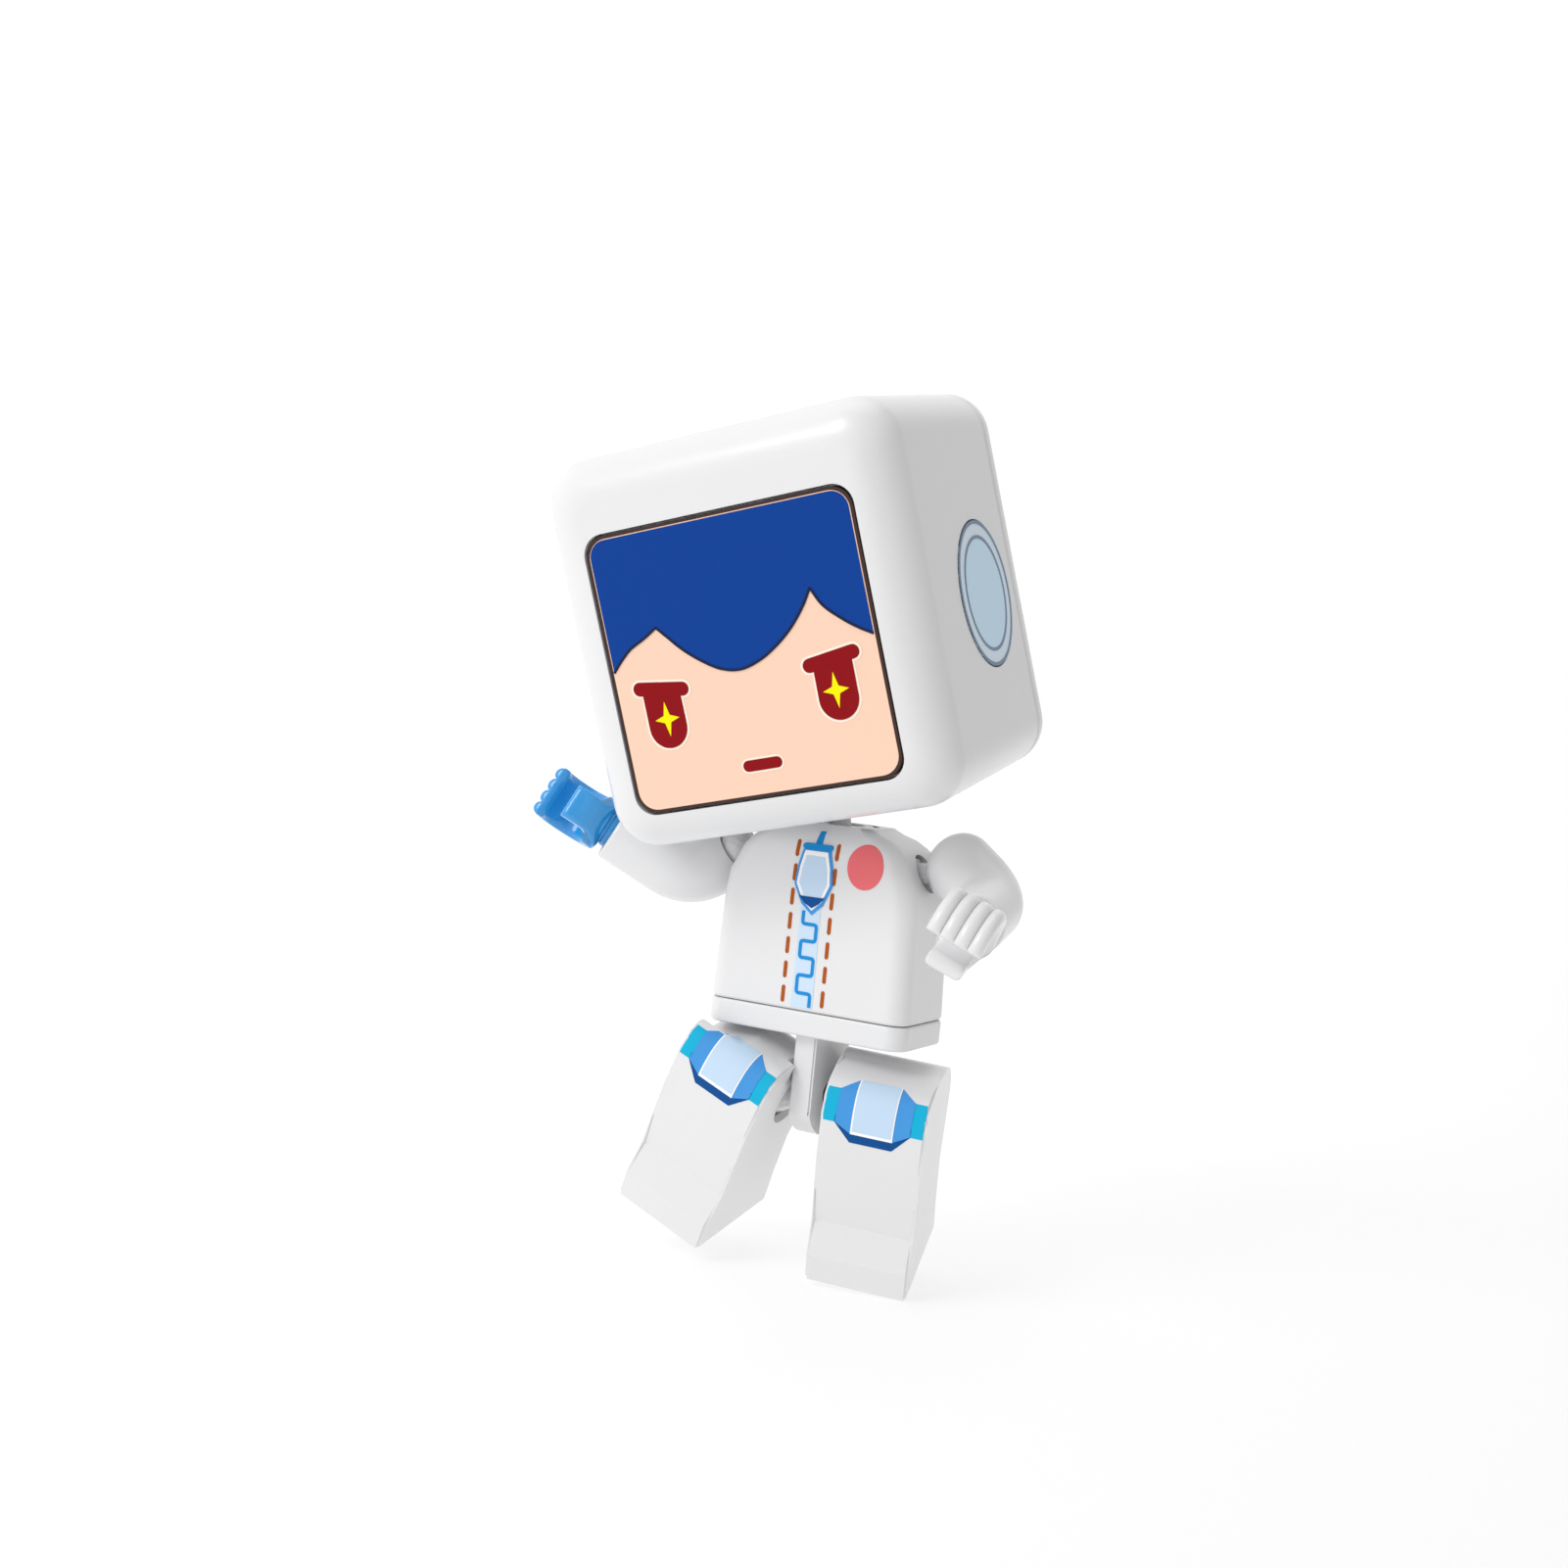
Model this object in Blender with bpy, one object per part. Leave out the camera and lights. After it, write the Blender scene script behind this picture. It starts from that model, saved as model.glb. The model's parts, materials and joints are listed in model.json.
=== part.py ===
"""Posable brick-style figure with a box head, as separate moulded pieces on friction ball joints.

Local lengths are in millimetres and become metres in emit() and placed(). The figure's own frame has
+X to the figure's left, -Y to its face, +Z up, with its zero at the middle of the waist's underside.
WAIST puts that point above the ground so that the lowest toe touches z = 0.
"""
import math

import bmesh
import bpy
from mathutils import Euler, Matrix, Vector

MM = 0.001
GAP = 0.3          # clearance between separate pieces
WAIST = Vector((2.356, 3.68, 18.012))

# Torso and waist
TORSO_W, TORSO_D = 15.8, 7.8
BELT_H = 1.74
TORSO_TOP = 15.1
TAPER_FROM = 9.6   # below this height the torso's sides are almost upright
TAPER_W = 11.4     # width at the top
TORSO_WALL = 1.2
WEB_W, WEB_DEPTH = 1.7, 5.6
PIN_Z = -4.5       # height of the hip pin
PIN_R = 0.6

# Head
HEAD_W, HEAD_D, HEAD_H = 26.2, 21.9, 27.3
HEAD_EDGE = 3.0
HEAD_WALL = 1.7
COVER_T = 2.0
SCREEN_W, SCREEN_H, SCREEN_R = 19.8, 19.2, 1.5
SCREEN_T = 1.0
SCREEN_Z = -1.4    # the screen's centre below the head's
EAR_R, EAR_Y, EAR_Z = 5.1, 2.3, -0.8
EAR_T = 0.9
TOP_DISC_R, TOP_DISC_Y = 2.5, 2.0

# Neck: a swivel collar in the torso and a link with a ball at each end
NECK_BASE = Vector((0, 0, 16.3))
HEAD_SHIFT = Vector((0, -1.26, 14.09))   # head centre from the neck base, in the head's own axes
LOW_BALL_Z = 12.9
HIGH_BALL_UP = 2.6                       # upper ball above the neck base, along the head's axis
NECK_BALL_R = 1.7
COLLAR_R = 2.3

# Arms and hands
SHOULDER = Vector((8.7, 0, 12.3))
SHOULDER_BALL_R = 1.6
SHOULDER_AXLE_R, SHOULDER_NECK_R = 1.0, 0.75
SOCKET_MOUTH_R = 4.4                     # the socket opens this wide, 4.6 from its ball
UPPER_ARM, FOREARM = 4.2, 6.4
ELBOW_TURN = 62                          # degrees between upper arm and forearm
ARM_OUT = 1.1                            # the arm's middle line outside its ball
ARM_R, CUFF_R = 2.6, 2.2
WRIST_R, WRIST_LEN = 1.4, 2.6
GRIP_R, BORE_R = 2.75, 1.6
GRIP_REACH = 3.2                         # grip centre beyond the cuff
PALM_W = 4.0

# Legs, measured from the hip ball
LEG_W, LEG_INNER = 7.4, 1.7
BARREL_R = 3.6
HIP_X = 3.6
HIP_BALL_R = 2.1
SOLE_Z = -12.0
TOE_Y, HEEL_Y = -5.6, 4.6
STUD_R, STUD_DEPTH = 2.45, 3.0
SWING_ROOM = 12    # degrees a leg can swing each way before its top meets the belt

# Pose in degrees. Arms and legs: swing about X, then spread about Y, then twist about Z.
HEAD_POSE = (10.4, -13.9, 2.8)            # nod, tilt, turn
ARM_POSE = {"l": (-26, -54, -24), "r": (-52, 32, 42)}
HAND_TURN = {"l": 98, "r": -100}
LEG_POSE = {"l": (17, 8.5, 13), "r": (11.5, 24.5, 0)}

WHITE, BLUE, SKIN = (0.86, 0.86, 0.87), (0.06, 0.36, 0.75), (0.95, 0.65, 0.50)
PALE, STEEL = (0.62, 0.80, 0.95), (0.55, 0.56, 0.58)


def empty_scene():
    for thing in list(bpy.data.objects):
        bpy.data.objects.remove(thing, do_unlink=True)


def plastic(name, colour, roughness=0.25, metallic=0.0):
    material = bpy.data.materials.new(name)
    material.use_nodes = True
    shader = material.node_tree.nodes["Principled BSDF"]
    shader.inputs["Base Color"].default_value = (*colour, 1)
    shader.inputs["Roughness"].default_value = roughness
    shader.inputs["Metallic"].default_value = metallic
    return material


def turn(swing=0, spread=0, twist=0):
    """Swing about X outermost, then spread about Y, then twist about Z."""
    return Euler([math.radians(a) for a in (swing, spread, twist)], "ZYX").to_matrix().to_4x4()


def at(point):
    return Matrix.Translation(Vector(point))


def placed(frame):
    """A frame in figure millimetres as a world matrix in metres."""
    world = at(WAIST) @ frame
    return at(world.translation * MM) @ world.to_3x3().to_4x4()


def emit(name, bm, frame, material, smooth=35):
    bmesh.ops.recalc_face_normals(bm, faces=bm.faces)
    bmesh.ops.scale(bm, vec=(MM, MM, MM), verts=bm.verts)
    mesh = bpy.data.meshes.new(name)
    bm.to_mesh(mesh)
    bm.free()
    mesh.shade_smooth()
    mesh.set_sharp_from_angle(angle=math.radians(smooth))
    thing = bpy.data.objects.new(name, mesh)
    thing.matrix_world = placed(frame)
    if material:
        mesh.materials.append(material)
    bpy.context.collection.objects.link(thing)
    return thing


def combine(target, bm, frame, operation):
    """Cut or join a helper solid into the target; the helper itself isn't part of the figure."""
    helper = emit(f"{target.name}.{operation.lower()}{len(target.modifiers)}", bm, frame, None)
    helper.hide_render = True
    helper.display_type = "WIRE"
    step = target.modifiers.new(operation.title(), "BOOLEAN")
    step.operation = operation
    step.object = helper


def cut(target, bm, frame):
    combine(target, bm, frame, "DIFFERENCE")


def join(target, bm, frame):
    combine(target, bm, frame, "UNION")


def block(size, centre=(0, 0, 0), edge=0.0, segments=2):
    bm = bmesh.new()
    bmesh.ops.create_cube(bm, size=1)
    bmesh.ops.scale(bm, vec=size, verts=bm.verts)
    if edge:
        bmesh.ops.bevel(bm, geom=bm.edges[:], offset=edge, segments=segments, affect="EDGES", profile=0.5)
    bmesh.ops.translate(bm, vec=centre, verts=bm.verts)
    return bm


def ball(radius, centre=(0, 0, 0), rings=10):
    bm = bmesh.new()
    bmesh.ops.create_uvsphere(bm, u_segments=2 * rings, v_segments=rings, radius=radius)
    bmesh.ops.translate(bm, vec=centre, verts=bm.verts)
    return bm


def rod(radius, low, high, sides=24, far_radius=None):
    """A cylinder or cone between two points."""
    low, high = Vector(low), Vector(high)
    axis = high - low
    bm = bmesh.new()
    bmesh.ops.create_cone(
        bm, cap_ends=True, segments=sides, radius1=radius, radius2=far_radius or radius, depth=axis.length
    )
    spin = axis.to_track_quat("Z", "Y").to_matrix()
    bmesh.ops.rotate(bm, matrix=spin, verts=bm.verts)
    bmesh.ops.translate(bm, vec=(low + high) / 2, verts=bm.verts)
    return bm


def loft(rings):
    """A closed solid through rings of equal point counts, capped at both ends."""
    bm = bmesh.new()
    loops = [[bm.verts.new(point) for point in ring] for ring in rings]
    count = len(loops[0])
    for below, above in zip(loops, loops[1:]):
        for i in range(count):
            j = (i + 1) % count
            bm.faces.new((below[i], below[j], above[j], above[i]))
    bm.faces.new(loops[0])
    bm.faces.new(loops[-1])
    return bm


def turned(profile, sides=24):
    """A solid of revolution about Z from (radius, height) points."""
    angles = [math.tau * i / sides for i in range(sides)]
    return loft([[(r * math.cos(a), r * math.sin(a), z) for a in angles] for r, z in profile])


def arc(centre, radius, start, end, steps):
    """Points on an arc, angles in degrees."""
    angles = [math.radians(start + (end - start) * i / steps) for i in range(steps + 1)]
    return [(centre[0] + radius * math.cos(a), centre[1] + radius * math.sin(a)) for a in angles]


def rounded_outline(width, height, radius, steps=3):
    """Corner arcs of a rounded rectangle, counter-clockwise."""
    x, y = width / 2 - radius, height / 2 - radius
    corners = ((x, y, 0), (-x, y, 90), (-x, -y, 180), (x, -y, 270))
    return [p for cx, cy, a in corners for p in arc((cx, cy), radius, a, a + 90, steps)]


def sweep(path, radii, sides=16):
    """A round bar along a path with one radius for each point."""
    points = [Vector(p) for p in path]
    rings = []
    side = Vector((1, 0, 0))
    for i, (point, radius) in enumerate(zip(points, radii)):
        along = (points[min(i + 1, len(points) - 1)] - points[max(i - 1, 0)]).normalized()
        side = (side - along * side.dot(along)).normalized()
        up = along.cross(side)
        angles = [math.tau * k / sides for k in range(sides)]
        rings.append([point + radius * (side * math.cos(a) + up * math.sin(a)) for a in angles])
    return loft(rings)


def flip(bm, side):
    """The right-hand copy of a left-hand shape."""
    if side == "r":
        bmesh.ops.scale(bm, vec=(-1, 1, 1), verts=bm.verts)
    return bm


def mirrored(side, point):
    return Vector((point[0] if side == "l" else -point[0], point[1], point[2]))


def side_turn(side, pose):
    swing, spread, twist = pose
    sign = 1 if side == "l" else -1
    return turn(swing, spread, twist * sign)


# ---------------------------------------------------------------- torso and waist

def torso_level(width, depth, z, corner=1.4):
    return [(x, y, z) for x, y in rounded_outline(width, depth, corner)]


def torso_shell(material):
    low = BELT_H + GAP
    shell = emit("torso_shell", loft([
        torso_level(TORSO_W, TORSO_D, low),
        torso_level(TORSO_W - 0.6, TORSO_D, TAPER_FROM),
        torso_level(TAPER_W + 1.6, TORSO_D - 0.3, TORSO_TOP - 2.1),
        torso_level(TAPER_W, TORSO_D - 0.8, TORSO_TOP - 1.2),
        torso_level(TAPER_W - 3.4, TORSO_D - 2.0, TORSO_TOP - 0.4),
        torso_level(TAPER_W - 5.0, TORSO_D - 2.6, TORSO_TOP, corner=1.0),
    ]), Matrix(), material)
    wall = 2 * TORSO_WALL
    cut(shell, loft([
        torso_level(TORSO_W - wall, TORSO_D - wall, low - 1, corner=0.6),
        torso_level(TORSO_W - 0.6 - wall, TORSO_D - wall, TAPER_FROM, corner=0.6),
        torso_level(TAPER_W + 1.2 - wall, TORSO_D - wall - 0.4, TORSO_TOP - 2.1, corner=0.6),
        torso_level(TAPER_W - 0.4 - wall, TORSO_D - wall - 0.8, TORSO_TOP - 1.3, corner=0.6),
    ]), Matrix())
    cut(shell, rod(COLLAR_R + GAP, (0, 0, 12), (0, 0, 17)), Matrix())
    axle = rod(SHOULDER_AXLE_R + GAP, (-9, 0, SHOULDER.z), (9, 0, SHOULDER.z), sides=16)
    cut(shell, axle, Matrix())


def waist_block(material):
    waist = emit("waist_block", loft([
        torso_level(TORSO_W - 0.3, TORSO_D - 0.3, 0),
        torso_level(TORSO_W, TORSO_D, 0.2),
        torso_level(TORSO_W, TORSO_D, BELT_H - 0.2),
        torso_level(TORSO_W - 0.3, TORSO_D - 0.3, BELT_H),
    ]), Matrix(), material)
    half, reach = WEB_DEPTH / 2, 3.0
    bottom = arc((0, PIN_Z), reach, 180 + 21, 360 - 21, 10)
    outline = [(-half, 0.6)] + bottom + [(half, 0.6)]
    join(waist, loft([[(x, y, z) for y, z in outline] for x in (-WEB_W / 2, WEB_W / 2)]), Matrix())
    for x in (-4, 4):
        join(waist, rod(2.2, (x, 0, 1), (x, 0, BELT_H + 1.8), sides=20), Matrix())
    cut(waist, rod(PIN_R + GAP, (-2, 0, PIN_Z), (2, 0, PIN_Z), sides=12), Matrix())


def hip_pin(material):
    emit("hip_pin", rod(PIN_R, (-4.9, 0, PIN_Z), (4.9, 0, PIN_Z), sides=12), Matrix(), material)


# ---------------------------------------------------------------- neck and head

def head_frame():
    nod, tilt, head_turn = (math.radians(a) for a in HEAD_POSE)
    spin = Euler((nod, tilt, head_turn), "XYZ").to_matrix().to_4x4()
    return at(NECK_BASE) @ spin


def neck(material):
    swivel = Matrix.Rotation(math.radians(HEAD_POSE[2]), 4, "Z")
    top = TORSO_TOP
    collar = emit("neck_collar", turned([
        (COLLAR_R - 0.3, 10.6), (COLLAR_R, 10.9), (COLLAR_R, top - 0.2), (COLLAR_R - 0.2, top),
    ]), swivel, material)
    cut(collar, ball(NECK_BALL_R + GAP, (0, 0, LOW_BALL_Z)), swivel)
    cut(collar, rod(1.0, (0, 0, LOW_BALL_Z + 1), (0, 0, top + 1), sides=20, far_radius=2.1), swivel)
    low = Vector((0, 0, LOW_BALL_Z))
    high = head_frame() @ Vector((0, 0, HIGH_BALL_UP))
    lean = (high - low).to_track_quat("Z", "X").to_matrix().to_4x4()
    span = (high - low).length
    link_frame = at(low) @ lean
    link = emit("neck_link", rod(0.8, (0, 0, -1), (0, 0, span + 1), sides=16), link_frame, material)
    join(link, ball(NECK_BALL_R), link_frame)
    join(link, ball(NECK_BALL_R, (0, 0, span)), link_frame)


def head_centre_frame():
    return head_frame() @ at(HEAD_SHIFT)


def head_block(inset, front, rear):
    """The head's box with rounded front and side edges, between two depths."""
    edge = HEAD_EDGE - inset * 0.6
    width, height = HEAD_W - 2 * inset, HEAD_H - 2 * inset
    rings = []
    for angle in (0, 30, 60, 90):
        step = math.radians(angle)
        shrink, depth = edge * (1 - math.sin(step)), edge * (1 - math.cos(step))
        outline = rounded_outline(width - 2 * shrink, height - 2 * shrink, max(edge - shrink, 0.2), steps=4)
        rings.append([(x, front + depth, z) for x, z in outline])
    outline = rounded_outline(width, height, edge, steps=4)
    rings.append([(x, rear, z) for x, z in outline])
    return loft(rings)


def head_shell(frame, material):
    front, seam = -HEAD_D / 2, HEAD_D / 2 - COVER_T - GAP
    shell = emit("head_shell", head_block(0, front, seam), frame, material)
    cut(shell, head_block(HEAD_WALL, front + HEAD_WALL + SCREEN_T, seam + 5), frame)
    recess = rounded_outline(SCREEN_W + 2 * GAP, SCREEN_H + 2 * GAP, SCREEN_R)
    depths = (front - 2, front + SCREEN_T + GAP)
    cut(shell, loft([[(x, y, z + SCREEN_Z) for x, z in recess] for y in depths]), frame)
    for sign in (-1, 1):
        side = sign * HEAD_W / 2
        cut(shell, rod(EAR_R + GAP, (side + sign, EAR_Y, EAR_Z), (side - sign * EAR_T, EAR_Y, EAR_Z)), frame)
        x, top = sign * HEAD_W / 4, HEAD_H / 2
        cut(shell, rod(TOP_DISC_R + GAP, (x, TOP_DISC_Y, top + 1), (x, TOP_DISC_Y, top - 0.9)), frame)
    low = -HEAD_SHIFT
    cut(shell, rod(3.2, low + Vector((0, 0, -1)), low + Vector((0, 0, 3)), sides=20), frame)


def head_cover(frame, material):
    seam, rear = HEAD_D / 2 - COVER_T, HEAD_D / 2
    outline = rounded_outline(HEAD_W, HEAD_H, HEAD_EDGE, steps=4)
    inner = rounded_outline(HEAD_W - 0.8, HEAD_H - 0.8, HEAD_EDGE - 0.4, steps=4)
    cover = emit("head_back_cover", loft([
        [(x, seam, z) for x, z in outline],
        [(x, rear - 0.4, z) for x, z in outline],
        [(x, rear, z) for x, z in inner],
    ]), frame, material)
    lip = HEAD_WALL + 2 * GAP
    rim = rounded_outline(HEAD_W - 2 * lip, HEAD_H - 2 * lip, HEAD_EDGE)
    join(cover, loft([[(x, y, z) for x, z in rim] for y in (seam - 1.4, seam + 0.5)]), frame)


def head_socket(frame, material):
    """The cup on the head's floor that grips the upper ball."""
    base = -HEAD_SHIFT
    floor = -HEAD_H / 2 + HEAD_WALL + GAP
    ball_z = base.z + HIGH_BALL_UP
    cup = emit("head_socket", rod(3.6, (0, base.y, floor), (0, base.y, ball_z + 3.0)), frame, material)
    join(cup, block((12, 8, 1.0), (0, base.y, floor + 0.5)), frame)
    cut(cup, ball(NECK_BALL_R + GAP, (0, base.y, ball_z)), frame)
    cut(cup, rod(2.4, (0, base.y, floor - 1), (0, base.y, ball_z), sides=20, far_radius=1.0), frame)


def face_panel(frame, material):
    front = -HEAD_D / 2
    outline = rounded_outline(SCREEN_W, SCREEN_H, SCREEN_R)
    depths = (front + 0.1, front + SCREEN_T)
    emit("face_panel", loft([[(x, y, z + SCREEN_Z) for x, z in outline] for y in depths]), frame, material)


def head_discs(frame, pale, white):
    for name, sign in (("l", 1), ("r", -1)):
        face = sign * HEAD_W / 2
        inner, outer = face - sign * (EAR_T - GAP), face + sign * 0.05
        ring = emit(f"ear_ring_{name}", rod(EAR_R, (inner, EAR_Y, EAR_Z), (outer, EAR_Y, EAR_Z), 32), frame, pale)
        cut(ring, rod(EAR_R * 0.78 + GAP / 2, (inner - 2, EAR_Y, EAR_Z), (inner + 2, EAR_Y, EAR_Z), 32), frame)
        emit(f"ear_disc_{name}", rod(EAR_R * 0.78 - GAP / 2, (inner, EAR_Y, EAR_Z), (outer, EAR_Y, EAR_Z), 32),
             frame, pale)
        x, top = sign * HEAD_W / 4, HEAD_H / 2
        emit(f"top_disc_{name}", rod(TOP_DISC_R, (x, TOP_DISC_Y, top - 0.6), (x, TOP_DISC_Y, top + 0.05)), frame, white)


# ---------------------------------------------------------------- arms and hands

def shoulder_frame(side):
    return at(mirrored(side, SHOULDER))


def shoulder_stud(side, material):
    swing = turn(ARM_POSE[side][0])
    frame = shoulder_frame(side) @ swing
    sign = 1 if side == "l" else -1
    inner = -SHOULDER.x + 3.0
    outer = -2.7
    axle = rod(SHOULDER_AXLE_R, (sign * inner, 0, 0), (sign * outer, 0, 0), 16)
    stud = emit(f"shoulder_stud_{side}", axle, frame, material)
    join(stud, rod(SHOULDER_NECK_R, (sign * (outer - 1), 0, 0), (0, 0, 0), 16), frame)
    join(stud, ball(SHOULDER_BALL_R), frame)
    collar = inner + 0.9
    join(stud, rod(1.45, (sign * inner, 0, 0), (sign * collar, 0, 0), 16), frame)


def arm_frame(side):
    return shoulder_frame(side) @ side_turn(side, ARM_POSE[side])


def arm_path():
    """Middle line from the shoulder's top round the elbow to the cuff, with the radius at each point."""
    bend = math.radians(ELBOW_TURN)
    elbow = Vector((ARM_OUT, 0, -UPPER_ARM))
    fore = Vector((0, -math.sin(bend), -math.cos(bend)))
    cuff = elbow + fore * FOREARM
    start = Vector((ARM_OUT, 0, 1.9))
    path = [start, start - Vector((0, 0, 0.8)), Vector((ARM_OUT, 0, -0.2)), Vector((ARM_OUT, 0, -2.3))]
    radii = [1.3, 2.2, ARM_R, ARM_R]
    begin, end = elbow + Vector((0, 0, 2.0)), elbow + fore * 2.2
    for i in range(1, 4):
        t = i / 4
        path.append(begin * (1 - t) ** 2 + elbow * 2 * t * (1 - t) + end * t ** 2)
        radii.append(ARM_R - 0.08 * i)
    path += [end, cuff]
    radii += [ARM_R - 0.3, CUFF_R]
    return path, radii, cuff, fore


def arm(side, material):
    frame = arm_frame(side)
    path, radii, cuff, fore = arm_path()
    limb = emit(f"arm_{side}", flip(sweep(path, radii), side), frame, material, smooth=50)
    cut(limb, ball(SHOULDER_BALL_R + GAP), frame)
    inward = Vector((-1 if side == "l" else 1, 0, 0))
    mouth = turn(ARM_POSE[side][0]) @ inward
    socket = rod(0.8, mouth * 0.4, mouth * 4.6, 20, far_radius=SOCKET_MOUTH_R)
    cut(limb, socket, shoulder_frame(side))
    bore = flip(rod(WRIST_R + GAP, cuff - fore * (WRIST_LEN + GAP), cuff + fore * 2, 16), side)
    cut(limb, bore, frame)


def hand_frame(side):
    """Origin at the cuff's middle, +Z out along the forearm, +X along the grip's bore."""
    _, _, cuff, fore = arm_path()
    bend = math.radians(ELBOW_TURN)
    aim = Matrix.Rotation(math.pi - bend, 4, "X")
    roll = Matrix.Rotation(math.radians(HAND_TURN[side]), 4, "Z")
    return arm_frame(side) @ at(mirrored(side, cuff)) @ aim @ roll


def grip_outline(radius, inner, start, end, steps=14):
    centre = (0, GRIP_REACH)
    outer = arc(centre, radius, start, end, steps)
    return outer + arc(centre, inner, end, start, steps)


def hand(side, material):
    frame = hand_frame(side)
    opening, half = 55, 36               # degrees from +Y, and half the mouth's angle
    start, end = opening + half, opening - half + 360
    outline = grip_outline(GRIP_R, BORE_R, start, end)
    half_palm = PALM_W / 2
    palm = loft([[(x, y, z) for y, z in outline] for x in (-half_palm, half_palm)])
    grip = emit(f"hand_{side}", flip(palm, side), frame, material, smooth=40)
    join(grip, rod(WRIST_R, (0, 0, -WRIST_LEN), (0, 0, GRIP_REACH - BORE_R - 0.4), 16), frame)
    groove = grip_outline(GRIP_R + 1, GRIP_R - 0.35, start + 4, start + 110, steps=8)
    for x in (-1, 0, 1):
        slot = loft([[(x * PALM_W / 4 + dx, y, z) for y, z in groove] for dx in (-0.12, 0.12)])
        cut(grip, flip(slot, side), frame)
    thumb = grip_outline(GRIP_R + 1, BORE_R - 0.5, start - 2 * half - 70, start - 2 * half + 10, steps=8)
    for x in (-2.1, 2.1):
        notch = loft([[(x + dx, y, z) for y, z in thumb] for dx in (-0.7, 0.7)])
        cut(grip, flip(notch, side), frame)


# ---------------------------------------------------------------- hips and legs

def hip_frame(side):
    return at(mirrored(side, (HIP_X, 0, PIN_Z)))


def hip_ball(side, material):
    swing = turn(LEG_POSE[side][0])
    frame = hip_frame(side) @ swing
    joint = emit(f"hip_ball_{side}", ball(HIP_BALL_R), frame, material)
    cut(joint, rod(PIN_R + GAP, (-4, 0, 0), (4, 0, 0), 12), frame)


def leg_outline():
    """Side view from the hip barrel over the knee and shin to the toe, sole and heel."""
    barrel = arc((0, 0), BARREL_R, -25, 100, 8)
    thigh = [(-2.4, 3.8), (-4.0, 3.8), (-5.0, 3.4), (-5.6, 2.6), (-6.0, 1.2)]
    shin = [(-6.0, -1.4), (-5.7, -4.4), (-5.2, -7.2)]
    toe = [(-6.0, -9.7), (TOE_Y, SOLE_Z)]
    calf = [(HEEL_Y, SOLE_Z), (3.5, -8.4), (2.7, -4.8)]
    return barrel + thigh + shin + toe + calf


def leg(side, material):
    frame = hip_frame(side) @ side_turn(side, LEG_POSE[side])
    outline = leg_outline()
    inner, outer = -LEG_INNER, LEG_W - LEG_INNER
    shape = loft([[(x, y, z) for y, z in outline] for x in (inner, outer)])
    rims = [e for e in shape.edges if abs(e.verts[0].co.x - e.verts[1].co.x) < 0.01]
    bmesh.ops.bevel(shape, geom=rims, offset=0.3, segments=1, affect="EDGES")
    limb = emit(f"leg_{side}", flip(shape, side), frame, material)
    sign = 1 if side == "l" else -1
    cut(limb, ball(HIP_BALL_R + GAP), frame)
    cut(limb, rod(3.0, (-sign * 3.2, 0, 0), (-sign * 0.4, 0, 0), 20, far_radius=1.7), frame)
    hip = hip_frame(side)
    relief = 2 * GAP
    belt = (TORSO_W + relief, TORSO_D + relief, BELT_H + relief)
    for angle in (-SWING_ROOM, 0, SWING_ROOM):
        swung = hip @ turn(angle) @ hip.inverted()
        cut(limb, block(belt, (0, 0, BELT_H / 2)), swung)
    cut(limb, block((WEB_W + relief, WEB_DEPTH + relief, 16), (0, 0, -8)), Matrix())
    middle = (sign * (LEG_W / 2 - LEG_INNER), (TOE_Y + HEEL_Y) / 2)
    cut(limb, rod(STUD_R, (*middle, SOLE_Z - 1), (*middle, SOLE_Z + STUD_DEPTH), 20), frame)


def build():
    empty_scene()
    white, blue = plastic("white_plastic", WHITE), plastic("blue_plastic", BLUE)
    skin, pale = plastic("face_print", SKIN, 0.35), plastic("pale_blue_plastic", PALE)
    steel = plastic("pin_metal", STEEL, 0.35, 1.0)
    torso_shell(white)
    waist_block(white)
    hip_pin(steel)
    neck(white)
    head = head_centre_frame()
    head_shell(head, white)
    head_cover(head, white)
    head_socket(head, white)
    face_panel(head, skin)
    head_discs(head, pale, pale)
    for side in ("l", "r"):
        shoulder_stud(side, white)
        arm(side, white)
        hand(side, white if side == "l" else blue)
        hip_ball(side, white)
        leg(side, white)


build()
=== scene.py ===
"""Looks of the posable brick-style figure: finer moulded pieces, printed decoration, studio and camera.

Lengths are in millimetres in the figure's own frame: +X to the figure's left, -Y to its face, +Z up,
zero at the middle of the waist's underside. piece() turns them into metres.
"""
import json
import math

import bmesh
import bpy
from mathutils import Euler, Matrix, Vector
from mathutils.bvhtree import BVHTree

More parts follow.
